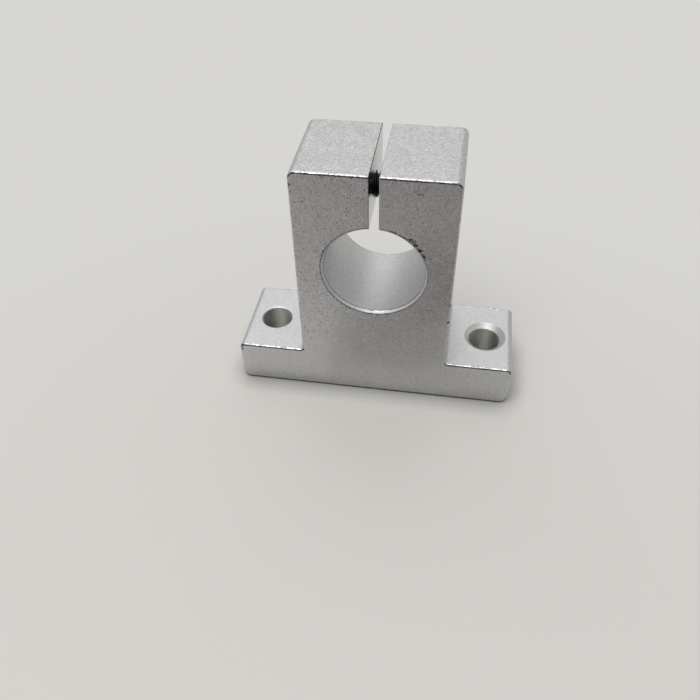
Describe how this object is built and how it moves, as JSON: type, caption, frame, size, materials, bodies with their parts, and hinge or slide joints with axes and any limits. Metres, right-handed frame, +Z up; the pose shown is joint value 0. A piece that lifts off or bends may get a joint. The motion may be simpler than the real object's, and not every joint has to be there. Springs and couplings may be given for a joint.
{
  "type": "shaft support block",
  "caption": "Upright aluminium block with a split clamping bore on a bolted foot, which holds the end of a round guide shaft.",
  "frame": {"origin": "middle of the foot's underside, straight below the shaft bore", "axes": "+X across the width, towards the clamp screw's head; +Y along the shaft; +Z up"},
  "size_m": [0.048, 0.016, 0.044],
  "materials": {
    "anodised_aluminium": "fine blasted and clear anodised, satin",
    "black_steel": "black oxide, slightly oiled"
  },
  "bodies": {
    "block": {"support_block": "anodised_aluminium"},
    "screw": {"clamp_screw": "black_steel"}
  },
  "joints": [
    {"name": "clamp_screw_turn", "type": "hinge", "parent": "block", "child": "screw", "pos_m": [0, 0, 0.038], "axis": [1, 0, 0], "range_deg": [0, 270]}
  ]
}
